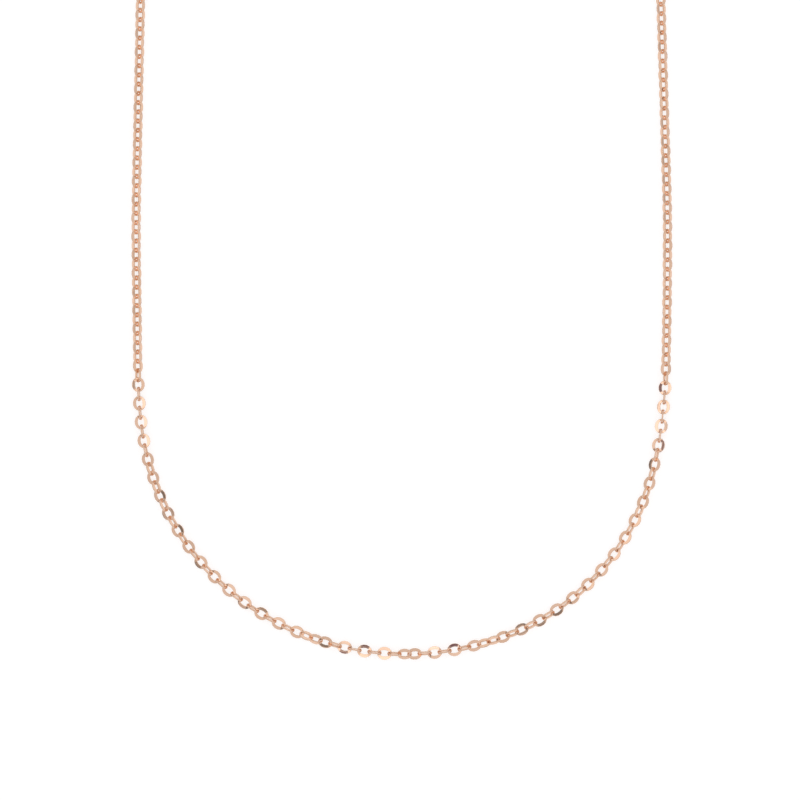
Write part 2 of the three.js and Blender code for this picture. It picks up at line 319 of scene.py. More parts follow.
@dataclass(frozen=True)
class CutGold:
    """Polished rose gold with diamond-cut facets.

    The facets carry fine straight cutter lines; the rounded rims are a little softer.
    Towards each link's ends, where the next links cross it, the colour is painted a deeper
    orange: painted shade and painted reflection of gold on gold, more on the rims than the facets.
    """

    name: str = "rose_gold_cut"
    colour: Colour = (0.755, 0.51, 0.365)
    pale: Colour = (0.8, 0.555, 0.415)
    # Painted shade and painted reflection of gold on gold: the deeper orange of the link ends where
    # the next links cross them.
    deep: Colour = (0.8, 0.44, 0.25)
    facet_roughness: float = 0.07
    cutter_range: float = 0.05
    cutter_pitch: float = 0.09
    cutter_relief: float = 0.12
    rim_roughness: float = 0.16
    wear_range: float = 0.08
    wear_scale: float = 900.0
    # How much of the painted shade and reflection at the link ends the rims and the facets take.
    painted_bounce_on_rim: float = 0.9
    painted_bounce_on_facet: float = 0.3

    def make(self) -> Material:
        """Builds the material.

        Returns:
            The finished material.
        """
        material, tree, shader = new_material(self.name)
        facet, tint, painted_bounce_mask = (
            tree.add("ShaderNodeAttribute", attribute_name=name).outputs["Fac"]
            for name in ("facet", "link_tint", "painted_bounce_end")
        )
        place = tree.add("ShaderNodeAttribute", attribute_name="link_place").outputs["Vector"]
        lines = {"Vector": place, "Scale": 1.0 / (self.cutter_pitch * MM * WAVE_RATE),
                 "Distortion": 1.5, "Detail": 2.0}
        cutter = tree.add("ShaderNodeTexWave", lines, bands_direction="Y").outputs["Fac"]
        noise = {"Vector": place, "Scale": self.wear_scale, "Detail": 3.0}
        cloud = tree.add("ShaderNodeTexNoise", noise).outputs["Fac"]
        worn = tree.math("MULTIPLY_ADD", cloud, self.wear_range, self.rim_roughness)
        cut = tree.math("MULTIPLY_ADD", cutter, self.cutter_range, self.facet_roughness)
        rough = tree.add("ShaderNodeMix", {0: facet, 2: worn, 3: cut}, data_type="FLOAT")
        tree.join(rough.outputs[0], shader, "Roughness")
        colour = tree.mix(tint, (*self.colour, 1.0), (*self.pale, 1.0))
        # Painted shade and painted reflection: the link ends are mixed towards a deeper orange,
        # more on the rims than on the facets.
        less = self.painted_bounce_on_facet - self.painted_bounce_on_rim
        painted_bounce_share = tree.math("MULTIPLY_ADD", facet, less, self.painted_bounce_on_rim)
        painted_bounce_amount = tree.math("MULTIPLY", painted_bounce_mask, painted_bounce_share)
        tree.join(tree.mix(painted_bounce_amount, colour, (*self.deep, 1.0)), shader, "Base Color")
        tree.bump(tree.math("MULTIPLY", cutter, facet), self.cutter_relief, shader)
        return material


@dataclass(frozen=True)
class PolishedMetal:
    """Drawn or cast metal, polished, with faint wear."""

    name: str
    colour: Colour
    dark: Colour
    roughness: float
    wear_range: float = 0.12
    wear_scale: float = 700.0
    scratch_scale: float = 4200.0
    scratch_relief: float = 0.06

    def make(self) -> Material:
        """Builds the material.

        Returns:
            The finished material.
        """
        material, tree, shader = new_material(self.name)
        place = tree.add("ShaderNodeTexCoord").outputs["Object"]
        noise = {"Vector": place, "Scale": self.wear_scale, "Detail": 4.0}
        cloud = tree.add("ShaderNodeTexNoise", noise).outputs["Fac"]
        colour = tree.mix(cloud, (*self.dark, 1.0), (*self.colour, 1.0))
        tree.join(colour, shader, "Base Color")
        least = self.roughness - self.wear_range / 2
        tree.join(tree.math("MULTIPLY_ADD", cloud, self.wear_range, least), shader, "Roughness")
        fine = {"Vector": place, "Scale": self.scratch_scale, "Detail": 2.0}
        scratch = tree.add("ShaderNodeTexNoise", fine).outputs["Fac"]
        tree.bump(scratch, self.scratch_relief, shader)
        return material


def new_material(name: str) -> tuple[Material, NodeTree, Node]:
    """Starts a metal material.

    Args:
        name: the material's name.

    Returns:
        The material, its tree and its shader node.
    """
    material = bpy.data.materials.new(name)
    material.use_nodes = True
    shader = material.node_tree.nodes["Principled BSDF"]
    shader.inputs["Metallic"].default_value = 1.0
    return material, NodeTree(material.node_tree), shader


# ---------- the chain ----------


@dataclass(frozen=True)
class Bend:
    """A stretch of the chain's curve: millimetres of chain and degrees turned."""

    span: float
    turn: float


@dataclass(frozen=True)
class Slack:
    """How much closer the links lie up a strand, and where that starts and is complete."""

    amount: float
    starts: float
    full: float

    def at(self, s: float) -> float:
        """The spacing taken off at a distance s."""
        share = min(max((abs(s) - self.starts) / (self.full - self.starts), 0.0), 1.0)
        return self.amount * share * share * (3.0 - 2.0 * share)


@dataclass(frozen=True)
class Link:
    """One link's shape: an oval ring of flattened wire with two cut faces on each side."""

    length: float = 3.4
    width: float = 2.97
    side_band: float = 0.76
    end_band: float = 0.49
    ridge: float = 0.54
    roof: float = 4.5
    crown: float = 0.12
    crown_rim: float = 0.14
    crown_from: float = 0.3
    crown_to: float = 0.8
    rim: float = 0.05

    def inputs(self) -> dict[str, float]:
        """The sizes as inputs of the link group: metres, and the roof's slope in radians.

        Returns:
            Values by input name.
        """
        sizes = {name.replace("_", " ").title(): value * MM for name, value in asdict(self).items()}
        return {**sizes, "Roof": math.radians(self.roof)}


@dataclass(frozen=True)
class LinkPlace:
    """Where one link lies: centre and two of its axes."""

    centre: Vector
    ahead: Vector
    across: Vector


@dataclass(frozen=True)
class ChainLine:
    """The chain's curve on the surface, and how its links are laid along it."""

    link: Link = Link()
    cad_width: float = 2.92
    cad_thickness: float = 0.47
    cad_end_band: float = 0.53
    count: int = 200
    play: float = 0.07
    middle_at: float = -0.1
    left_slack: Slack = Slack(0.185, 22.0, 120.0)
    right_slack: Slack = Slack(0.13, 45.0, 110.0)
    left_bends: tuple[Bend, ...] = (
        Bend(36, 33.2), Bend(36, 36.2), Bend(9, 8.9), Bend(9, 7.2), Bend(9, 3.5), Bend(27, 0.4),
        Bend(14, 1.8),
    )
    right_bends: tuple[Bend, ...] = (
        Bend(24, 21), Bend(12, 13), Bend(36, 38.8), Bend(9, 7.6), Bend(18, 8.2), Bend(27, 1.2),
        Bend(14, 2),
    )
    rolls: tuple[tuple[float, float], ...] = (
        (-225, -90), (-205, -45), (-100, -45), (-94, 0), (-83, 0), (-78, 27), (-61, 27), (-56, 18),
        (-26, 18), (-20, 45), (-13, 90), (-4, 90), (6, 180), (11.5, 185), (15.6, 205), (20, 230),
        (27, 246), (62, 246), (67, 240), (76, 240), (82, 270), (94, 270), (100, 315), (200, 315),
        (220, 360),
    )

    @property
    def wire_reach(self) -> float:
        """Distance from a link's centre to the middle of its end wire."""
        return self.link.length / 2 - self.cad_end_band / 2

    def point_at(self, s: float) -> tuple[float, float]:
        """The curve's point at a distance.

        Args:
            s: distance along the chain.

        Returns:
            x and y.
        """
        left, heading, x, y = abs(s), 0.0, 0.0, 0.0
        bends = self.left_bends if s < 0 else self.right_bends
        for bend in (*bends, Bend(math.inf, 0.0)):
            run = min(left, bend.span)
            swing = math.radians(bend.turn) * run / bend.span if bend.turn else 0.0
            chord = 2 * run / swing * math.sin(swing / 2) if swing else run
            x += chord * math.cos(heading + swing / 2)
            y += chord * math.sin(heading + swing / 2)
            heading += swing
            left -= run
        return math.copysign(x, s), y

    def roll_at(self, s: float) -> float:
        """The chain's roll about its own line at a distance.

        Args:
            s: distance along the chain.

        Returns:
            The roll in radians.
        """
        inside = min(max(s, self.rolls[0][0]), self.rolls[-1][0])
        for (from_s, from_roll), (to_s, to_roll) in zip(self.rolls, self.rolls[1:]):
            if inside <= to_s:
                share = (inside - from_s) / (to_s - from_s)
                return math.radians(from_roll + (to_roll - from_roll) * share)
        return math.radians(self.rolls[-1][1])

    def stations(self) -> list[float]:
        """Spaces the links, walking out both ways from the middle one.

        Returns:
            Distance s of each link's centre.
        """
        taut = self.link.length - 2 * self.cad_end_band - self.play
        middle = self.count // 2
        right = [self.middle_at]
        while len(right) < self.count - middle:
            right.append(right[-1] + taut - self.slack_at(right[-1]))
        left = [self.middle_at]
        while len(left) <= middle:
            left.append(left[-1] - taut + self.slack_at(left[-1]))
        return left[:0:-1] + right

    def slack_at(self, s: float) -> float:
        """The spacing that the slack of this side takes off at s."""
        return (self.left_slack if s < 0 else self.right_slack).at(s)

    def half_height(self, roll: float) -> float:
        """Half the height of a link rolled about the chain's line."""
        upright, lying = abs(math.sin(roll)), abs(math.cos(roll))
        return self.cad_width / 2 * upright + self.cad_thickness / 2 * lying

    def lay(self) -> list[LinkPlace]:
        """Lays every link.

        Returns:
            The links' places, from the left end to the right end.
        """
        rolls = [self.roll_at(s) for s in self.stations()]
        centres = []
        for s, roll in zip(self.stations(), rolls):
            x, y = self.point_at(s)
            high = max(self.half_height(roll), self.half_height(roll + math.pi / 2))
            centres.append(Vector((x, y, high)))
        places = []
        for i, (centre, roll) in enumerate(zip(centres, rolls)):
            before, after = centres[max(i - 1, 0)], centres[min(i + 1, self.count - 1)]
            ahead = (after - before).normalized()
            side = UP.cross(ahead).normalized()
            turned = roll + (math.pi / 2 if i % 2 == 0 else 0.0)
            across = side * math.cos(turned) + ahead.cross(side) * math.sin(turned)
            places.append(LinkPlace(centre, ahead, across))
        return places


@dataclass
class Chain:
    """The oval-link chain: one piece for each run of links that moves as one body."""

    line: ChainLine = field(default_factory=ChainLine)
    finish: CutGold = field(default_factory=CutGold)
    run_count: int = 50
    anchor_joint: str = "chain_bend_27"
    segments: int = 14
    sides: int = 6
    facet_limit: float = 0.9
    weld: float = 0.002
    wobble: tuple[float, float, float] = (4.5, 1.8, 1.8)
    calm_from: float = 95.0
    calm_share: float = 0.35
    tuck: float = 2.5
    leans: tuple[tuple[int, float], ...] = (
        (57, 1.8), (58, 6.0), (59, 7.5), (60, 6.0), (61, 7.5), (62, 6.0), (63, 7.0), (94, 1.2),
        (95, 4.0), (96, 2.0), (97, 7.0), (98, -0.5), (103, 6.6), (104, 6.0), (105, -0.4),
    )
    seed: int = 11
    runs: list[Piece] = field(default_factory=list)

    @property
    def links_per_run(self) -> int:
        """Links in one run."""
        return self.line.count // self.run_count

    def shift(self, places: list[LinkPlace]) -> Vector:
        """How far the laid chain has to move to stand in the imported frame.

        Args:
            places: the laid links, in millimetres.

        Returns:
            The move in millimetres.
        """
        joint = next(j for j in frame["joints"] if j["name"] == self.anchor_joint)
        parent = places[(self.run_count // 2 + 1) * self.links_per_run - 1]
        pivot = parent.centre + parent.ahead * self.line.wire_reach
        return Vector(joint["pos_m"]) / MM - pivot

    def link_tree(self) -> GeometryTree:
        """Builds the group that makes a link at every point of a mesh.

        Returns:
            The group.
        """
        sizes = {name: "NodeSocketFloat" for name in self.line.link.inputs()}
        tree = GeometryTree("links", {**sizes, "Segments": "NodeSocketInt",
                                      "Wobble": "NodeSocketVector", "Seed": "NodeSocketInt"})
        source = tree.source
        one_more = {0: source["Segments"], 1: 1}
        columns = tree.add("FunctionNodeIntegerMath", one_more, operation="ADD").outputs[0]
        sheet = tree.add("GeometryNodeMeshGrid", {
            "Size X": 1.0, "Size Y": 1.0, "Vertices X": columns, "Vertices Y": self.sides + 1,
        })
        spot = tree.add("GeometryNodeInputPosition").outputs[0]
        at = tree.add("ShaderNodeSeparateXYZ", {0: spot})
        round_it = tree.math("MULTIPLY_ADD", at.outputs["X"], math.tau, math.pi)
        over = tree.math("MULTIPLY_ADD", at.outputs["Y"], math.tau, math.pi)
        height = tree.math("ABSOLUTE", tree.math("SINE", over))
        is_facet = tree.math("GREATER_THAN", height, self.facet_limit)
        marked = tree.store(sheet.outputs["Mesh"], "facet", is_facet, domain="FACE")
        is_soft = tree.math("LESS_THAN", is_facet, 0.5)
        soft = tree.add(
            "GeometryNodeSetShadeSmooth", {"Geometry": marked, "Shade Smooth": is_soft},
            domain="FACE",
        )
        cosine, sine = tree.math("COSINE", round_it), tree.math("SINE", round_it)
        half_length = tree.math("MULTIPLY", source["Length"], 0.5)
        half_width = tree.math("MULTIPLY", source["Width"], 0.5)
        eye_length = tree.math("SUBTRACT", half_length, source["End Band"])
        eye_width = tree.math("SUBTRACT", half_width, source["Side Band"])
        outer = self.on_oval(tree, cosine, sine, half_length, half_width)
        inner = self.on_oval(tree, cosine, sine, eye_length, eye_width)
        band = tree.vector("SUBTRACT", outer, inner)
        reach = tree.vector("LENGTH", band)
        out = tree.math("MULTIPLY", tree.math("COSINE", over), -1.0)
        from_edge = tree.math("SUBTRACT", 1.0, tree.math("ABSOLUTE", out))
        from_edge = tree.math("MULTIPLY", from_edge, 4.0)
        end_share = self.end_share(tree, tree.math("MULTIPLY", sine, half_width))
        chamfer = tree.math("MULTIPLY_ADD", source["Crown Rim"], end_share, source["Rim"])
        inset = tree.math("MULTIPLY", from_edge, tree.math("DIVIDE", chamfer, reach))
        share = tree.math("MULTIPLY", tree.math("SIGN", out), tree.math("SUBTRACT", 1.0, inset))
        along_band = tree.math("MULTIPLY_ADD", share, 0.5, 0.5)
        flat = tree.vector("ADD", inner, tree.vector("SCALE", band, scale=along_band))
        off_line = tree.math("ABSOLUTE", tree.add("ShaderNodeSeparateXYZ", {0: flat}).outputs["Y"])
        drop = tree.math("MULTIPLY", off_line, tree.math("TANGENT", source["Roof"]))
        roofed = tree.math("SUBTRACT", tree.math("MULTIPLY", source["Ridge"], 0.5), drop)
        high = tree.math("MULTIPLY_ADD", source["Crown"], end_share, roofed)
        level = tree.math("DIVIDE", tree.math("SINE", over), math.sin(math.tau / self.sides))
        lift = tree.math("MULTIPLY", high, level)
        rise = tree.add("ShaderNodeCombineXYZ", {"Z": lift}).outputs[0]
        shaped = {"Geometry": soft.outputs[0], "Position": tree.vector("ADD", flat, rise)}
        placed = tree.add("GeometryNodeSetPosition", shaped)
        welded = {"Geometry": placed.outputs[0], "Distance": self.weld * MM}
        merged = tree.add("GeometryNodeMergeByDistance", welded)
        closed = tree.add("GeometryNodeFlipFaces", {0: merged.outputs[0]})
        own_place = tree.store(closed.outputs[0], "link_place", spot, "FLOAT_VECTOR")
        # The share towards the link's ends is stored for the material's painted shade and
        # reflection at the ends.
        off_axis = tree.add("ShaderNodeSeparateXYZ", {0: spot}).outputs["Y"]
        edged = tree.store(own_place, "painted_bounce_end", self.end_share(tree, off_axis))
        ahead, across = (tree.attribute("FLOAT_VECTOR", name) for name in ("ahead", "across"))
        laid = tree.add(
            "FunctionNodeAxesToRotation", {0: ahead, 1: across},
            primary_axis="X", secondary_axis="Y",
        ).outputs[0]
        number = tree.attribute("INT", "link_number")
        most = tree.vector("SCALE", source["Wobble"], scale=tree.attribute("FLOAT", "looseness"))
        least = tree.vector("SCALE", most, scale=-1.0)
        chance = {"ID": number, "Seed": source["Seed"]}
        jog = tree.add(
            "FunctionNodeRandomValue", {"Min": least, "Max": most, **chance},
            data_type="FLOAT_VECTOR",
        )
        lean = tree.add("ShaderNodeCombineXYZ", {"X": tree.attribute("FLOAT", "lean")}).outputs[0]
        tilt = tree.vector("ADD", jog.outputs["Value"], lean)
        tilted = tree.add("FunctionNodeEulerToRotation", {0: tilt}).outputs[0]
        turned = tree.add(
            "FunctionNodeRotateRotation", {0: laid, 1: tilted}, rotation_space="LOCAL"
        ).outputs[0]
        tint = tree.add("FunctionNodeRandomValue", chance, data_type="FLOAT").outputs[1]
        shaded = tree.store(source["Geometry"], "link_tint", tint)
        strung = tree.add(
            "GeometryNodeInstanceOnPoints",
            {"Points": shaded, "Instance": edged, "Rotation": turned},
        )
        tree.end(strung.outputs[0])
        return tree

    @staticmethod
    def end_share(tree: GeometryTree, off_axis: Socket) -> Socket:
        """How near a point is to its link's ends: 1 at the ends, 0 along the sides.

        Args:
            tree: the tree that is being built.
            off_axis: the point's distance across the link.

        Returns:
            The share's socket.
        """
        away = tree.math("ABSOLUTE", off_axis)
        limits = {0: away, 1: tree.source["Crown From"], 2: tree.source["Crown To"], 3: 1.0, 4: 0.0}
        return tree.add("ShaderNodeMapRange", limits, interpolation_type="SMOOTHSTEP").outputs[0]

    @staticmethod
    def on_oval(tree: NodeTree, cosine: object, sine: object, a: object, b: object) -> Socket:
        """A point of an ellipse.

        Args:
            tree: the tree that is being built.
            cosine: cosine of the angle round it.
            sine: sine of the angle round it.
            a: half its length.
            b: half its width.

        Returns:
            The point's socket.
        """
        parts = {"X": tree.math("MULTIPLY", cosine, a), "Y": tree.math("MULTIPLY", sine, b)}
        return tree.add("ShaderNodeCombineXYZ", parts).outputs[0]

    def points(self, name: str, places: list[LinkPlace], first: int) -> bpy.types.Mesh:
        """The points that a run's links stand on.

        Args:
            name: the mesh's name.
            places: the run's links, in metres.
            first: number of the run's first link along the chain.

        Returns:
            A mesh of loose points with the links' axes and numbers.
        """
        mesh = bpy.data.meshes.new(name)
        mesh.from_pydata([place.centre for place in places], [], [])
        for label in ("ahead", "across"):
            values = mesh.attributes.new(label, "FLOAT_VECTOR", "POINT").data
            for item, place in zip(values, places):
                item.vector = getattr(place, label)
        numbers = mesh.attributes.new("link_number", "INT", "POINT").data
        for k, item in enumerate(numbers):
            item.value = first + k
        leans, stations = dict(self.leans), self.line.stations()
        for label, rule in (
            ("looseness", lambda i: 0.0 if i in leans else self.looseness(stations[i])),
            ("lean", lambda i: math.radians(leans.get(i, self.tucked(i, stations[i])))),
        ):
            for k, item in enumerate(mesh.attributes.new(label, "FLOAT", "POINT").data):
                item.value = rule(first + k)
        return mesh

    def tucked(self, number: int, s: float) -> float:
        """Degrees that a link of a strand leans more upright, because its links close up."""
        if abs(s) < self.calm_from:
            return 0.0
        return self.tuck if number % 2 == 0 else -self.tuck

    def looseness(self, s: float) -> float:
        """How much of the wobble a link has at a distance s: less up the two strands."""
        return 1.0 if abs(s) < self.calm_from else self.calm_share

    def build(self) -> None:
        """Builds every run."""
        laid = self.line.lay()
        move = self.shift(laid)
        places = [LinkPlace((p.centre + move) * MM, p.ahead, p.across) for p in laid]
        tree = self.link_tree()
        values = {
            **self.line.link.inputs(), "Segments": self.segments, "Seed": self.seed,
            "Wobble": [math.radians(x) for x in self.wobble], "Material": self.finish.make(),
        }
        for run in range(self.run_count):
            first = run * self.links_per_run
            name = f"links_{run + 1:02d}"
            seeds = self.points(name, places[first:first + self.links_per_run], first)
            self.runs.append(tree.grow(name, seeds, values))

    def dress(self) -> None:
        """Hands each run over to its body."""
        for run, piece in enumerate(self.runs):
            node = f"chain_run_{run + 1:02d}"
            body = "root" if run == self.run_count // 2 else node
            hand_over(piece, body, [node])


# ---------- rings ----------


@dataclass
class WireRing:
    """A ring of round wire with a fine butt joint."""

    node: str
    joint: str
    radius: float
    wire: float
    finish: Material
    upright: bool
    seam: float = 1.2
    segments: int = 72
    wire_sides: int = 20
    smooth_to: float = 40.0
    piece: Piece | None = None

    def place(self) -> Matrix:
        """Where the ring stands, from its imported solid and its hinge.

        Returns:
            The matrix of the ring's own frame, its plane XY.
        """
        low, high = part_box(self.node)
        centre = (low + high) / 2
        hinge = next(j for j in frame["joints"] if j["name"] == self.joint)
        near = Vector(hinge["pos_m"]) - centre
        if self.upright:
            near.z = 0.0
            across = UP
        else:
            across = near.cross(UP)
        out = -near.normalized()
        normal = out.cross(across).normalized()
        return basis(out, normal.cross(out), normal, centre)

    def build(self) -> None:
        """Builds the ring."""
        names = ("Radius", "Wire", "Open")
        sizes = {name: "NodeSocketFloat" for name in names}
        tree = GeometryTree(f"ring_{self.node}", {**sizes, "Segments": "NodeSocketInt"})
        source = tree.source
        middle = tree.add("GeometryNodeCurveArc", {
            "Resolution": source["Segments"], "Radius": source["Radius"],
            "Start Angle": tree.math("MULTIPLY", source["Open"], 0.5),
            "Sweep Angle": tree.math("SUBTRACT", math.tau, source["Open"]),
        })
        section = tree.add("GeometryNodeCurvePrimitiveCircle", {
            "Resolution": self.wire_sides, "Radius": source["Wire"],
        })
        swept = tree.add("GeometryNodeCurveToMesh", {
            "Curve": middle.outputs[0], "Profile Curve": section.outputs[0], "Fill Caps": True,
        })
        tree.end(swept.outputs[0])
        empty = bpy.data.meshes.new(self.node)
        self.piece = tree.grow(f"{self.node}_wire", empty, {
            "Radius": (self.radius - self.wire / 2) * MM, "Wire": self.wire / 2 * MM,
            "Open": math.radians(self.seam), "Segments": self.segments, "Material": self.finish,
        })
        self.piece.data.transform(self.place())

    def dress(self) -> None:
        """Smooths the wire and hands the ring over."""
        shade(self.piece, self.smooth_to)
        hand_over(self.piece, self.node, [self.node])


def shade(piece: Piece, angle: float) -> None:
    """Shades a piece smooth, with edges sharper than an angle kept.

    Args:
        piece: the mesh object.
        angle: the limit in degrees.
    """
    piece.data.shade_smooth()
    piece.data.set_sharp_from_angle(angle=math.radians(angle))
    even = piece.modifiers.new("even", "WEIGHTED_NORMAL")
    even.keep_sharp = True
    settle(piece)


# ---------- lobster clasp ----------


@dataclass
class LobsterClasp:
    """Clasp: u runs from the tail hole to the tip, v across it, w up through it."""

    gold: Material
    steel: Material
    thickness: float = 2.2
    half_width: float = 2.3
    half_length: float = 3.5
    tail_thickness: float = 0.7
    tail_band: float = 0.5
    tail_radius: float = 0.67
    neck_width: float = 1.5
    cheek: float = 0.5
    pivot_up: float = 1.8
    slot_below: float = 1.0
    slot_above: float = 0.55
    jaw_radius: float = 4.3
    back_wall: float = 1.2
    gap: float = 0.08
    gate_wall: float = 1.15
    gate_thickness: float = 1.7
    lever_width: float = 0.9
    lever_along: float = 1.2
    thumb_reach: float = 2.9
    thumb_drop: float = 0.35
    thumb_radius: float = 0.55
    boss_radius: float = 0.75
    press: float = 18.0
    pin_radius: float = 0.35
    pin_play: float = 0.07
    spring_wire: float = 0.16
    spring_radius: float = 0.56
    corner_limit: float = 30.0
    claw_corner: float = 0.45
    claw_edge: float = 0.32
    gate_corner: float = 0.3
    gate_edge: float = 0.28
    tail_edge: float = 0.15
    lever_edge: float = 0.12
    boss_edge: float = 0.1
    knob_edge: float = 0.3
    pin_edge: float = 0.1
    cut_edge: float = 0.02
    recess_edge: float = 0.01
    sweep_play: float = 0.002
    groove_at: tuple[float, ...] = (-3.1, -2.9, -2.7)
    groove_width: float = 0.1
    groove_length: float = 2.0
    groove_depth: float = 0.16
    groove_edge: float = 0.03
    spring_turns: float = 1.5
    spring_pitch: float = 1.2
    spring_steps: int = 36
    spring_leg: float = 0.35
    smooth_to: float = 35.0
    curve_steps: int = 64
    edge_steps: int = 4
    pieces: dict[str, Piece] = field(default_factory=dict)

    def __post_init__(self) -> None:
        """Finds the clasp's frame and the pin's place from the two hinges."""
        joints = {j["name"]: Vector(j["pos_m"]) for j in frame["joints"]}
        hole, pin = joints["clasp_swing"], joints["trigger_press"]
        along = pin - hole
        along.z = 0.0
        self.pivot = along.length / MM
        self.start = self.pivot - self.pivot_up
        along.normalize()
        self.matrix = basis(along, UP.cross(along), UP, hole) @ Matrix.Scale(MM, 4)

    @property
    def middle(self) -> float:
        """Where the middle of the oval outline is along u."""
        return self.start + self.half_length

    def oval_v(self, u: float) -> float:
        """Half the outline's width at u."""
        return self.half_width * math.sqrt(1.0 - ((u - self.middle) / self.half_length) ** 2)

    def oval_angle(self, u: float) -> float:
        """The outline's angle at u, on its +v side."""
        return math.acos((u - self.middle) / self.half_length)

    def oval_arc(self, from_angle: float, to_angle: float) -> Outline:
        """Points of the outline between two angles.

        Args:
            from_angle: first angle.
            to_angle: last angle.

        Returns:
            The points.
        """
        steps = self.curve_steps
        angles = [from_angle + (to_angle - from_angle) * k / steps for k in range(steps + 1)]
        long, wide = self.half_length, self.half_width
        return [(self.middle + long * math.cos(a), wide * math.sin(a)) for a in angles]

    def jaw_arc(self, radius: float, from_v: float, to_v: float) -> Outline:
        """Points of the jaw's arc about the pin.

        Args:
            radius: the arc's radius.
            from_v: v of its first point.
            to_v: v of its last point.

        Returns:
            The points.
        """
        first, last = math.asin(from_v / radius), math.asin(to_v / radius)
        steps = self.curve_steps // 4
        angles = [first + (last - first) * k / steps for k in range(steps + 1)]
        return [(self.pivot + radius * math.cos(a), radius * math.sin(a)) for a in angles]

    def jaw_meets_oval(self, radius: float) -> float:
        """Where the jaw's arc crosses the outline.

        Args:
            radius: the arc's radius.

        Returns:
            u of the crossing.
        """
        low, high = self.middle, self.middle + self.half_length
        for _ in range(40):
            u = (low + high) / 2
            if math.hypot(u - self.pivot, self.oval_v(u)) < radius:
                low = u
            else:
                high = u
        return low

    def plate(self, name: str, outline: Outline, thickness: float, edge: float) -> Piece:
        """A flat plate with rounded edges.

        Args:
            name: the object's name.
            outline: its points, anticlockwise.
            thickness: its thickness.
            edge: radius of its edges.

        Returns:
            The plate, in the clasp's own millimetres.
        """
        rings, count, flat = [], len(outline), thickness / 2 - edge
        for step in range(self.edge_steps + 1):
            turn = math.pi / 2 * step / self.edge_steps
            rings.append((edge * (1.0 - math.sin(turn)), -flat - edge * math.cos(turn)))
        rings += [(inset, -height) for inset, height in reversed(rings)]
        reach = inward_reach(outline, edge)
        points = []
        for inset, height in rings:
            points += [(u + nu * min(inset, far), v + nv * min(inset, far), height)
                       for (u, v), (nu, nv, far) in zip(outline, reach)]
        faces = [tuple(reversed(range(count))), tuple(range(len(points) - count, len(points)))]
        for ring in range(len(rings) - 1):
            for k in range(count):
                here, on = ring * count + k, ring * count + (k + 1) % count
                faces.append((here, on, on + count, here + count))
        mesh = bpy.data.meshes.new(name)
        mesh.from_pydata(points, [], faces)
        return mesh_object(name, mesh)

    @staticmethod
    def circle(u: float, v: float, radius: float, steps: int = 48) -> Outline:
        """Points of a circle."""
        turns = [math.tau * k / steps for k in range(steps)]
        return [(u + radius * math.cos(a), v + radius * math.sin(a)) for a in turns]

    def bar(self, to: tuple[float, float], width: float) -> Outline:
        """A bar with round ends, from the pin to a point.

        Args:
            to: the far point, from the pin.
            width: the bar's width.

        Returns:
            Its outline.
        """
        heading, half = math.atan2(to[1], to[0]), width / 2
        points = []
        for quarter, (u, v) in ((1, (self.pivot, 0.0)), (-1, (self.pivot + to[0], to[1]))):
            for k in range(13):
                turn = heading + quarter * math.pi / 2 + math.pi * k / 12
                points.append((u + half * math.cos(turn), v + half * math.sin(turn)))
        return points

    @staticmethod
    def box_outline(low: tuple[float, float], high: tuple[float, float]) -> Outline:
        """The four corners of a rectangle."""
        return [low, (high[0], low[1]), high, (low[0], high[1])]

    def build_body(self) -> Piece:
        """Builds the claw with its tail ring, slot and pin hole.

        Returns:
            The body, in the clasp's own millimetres.
        """
        edge_u = self.pivot + self.slot_above
        tip_u = self.jaw_meets_oval(self.jaw_radius)
        back_v = self.back_wall - self.half_width
        outline = self.oval_arc(self.oval_angle(edge_u), math.tau + self.oval_angle(tip_u))
        outline += self.jaw_arc(self.jaw_radius, self.oval_v(tip_u), back_v)[1:]
        outline += [(edge_u, back_v)]
        smooth = rounded(outline, self.claw_corner, self.corner_limit)
        claw = self.plate("claw", smooth, self.thickness, self.claw_edge)
        slot_high = 2 * (self.thickness / 2 - self.cheek)
        slot_from, wide = self.pivot - self.slot_below, 2 * self.half_width
        slot_box = self.box_outline((slot_from, -wide), (edge_u + self.gap, wide))
        slot = self.plate("slot", slot_box, slot_high, self.cut_edge)
        turn = math.radians(self.press)
        thumb = (-self.thumb_drop * math.cos(turn) - self.thumb_reach * math.sin(turn),
                 self.thumb_drop * math.sin(turn) - self.thumb_reach * math.cos(turn))
        path = self.bar(thumb, self.lever_width + 2 * self.gap)
        sweep = self.plate("sweep", path, slot_high - self.sweep_play, self.cut_edge)
        through = 2 * self.thickness
        pin_hole = self.circle(self.pivot, 0.0, self.pin_radius + 0.5 * self.pin_play)
        hole = self.plate("hole", pin_hole, through, self.cut_edge)
        tail_rim = self.circle(0.0, 0.0, self.tail_radius + self.tail_band)
        tail = self.plate("tail", tail_rim, self.tail_thickness, self.tail_edge)
        eye = self.plate("eye", self.circle(0.0, 0.0, self.tail_radius), through, self.cut_edge)
        neck_from, half = self.tail_radius + 0.5 * self.tail_band, self.neck_width / 2
        neck_box = self.box_outline((neck_from, -half), (slot_from, half))
        neck = self.plate("neck", neck_box, self.tail_thickness, self.tail_edge)
        tail = combine(tail, [eye], "DIFFERENCE")
        body = combine(claw, [hole, slot, sweep], "DIFFERENCE")
        return combine(body, [neck, tail], "UNION")

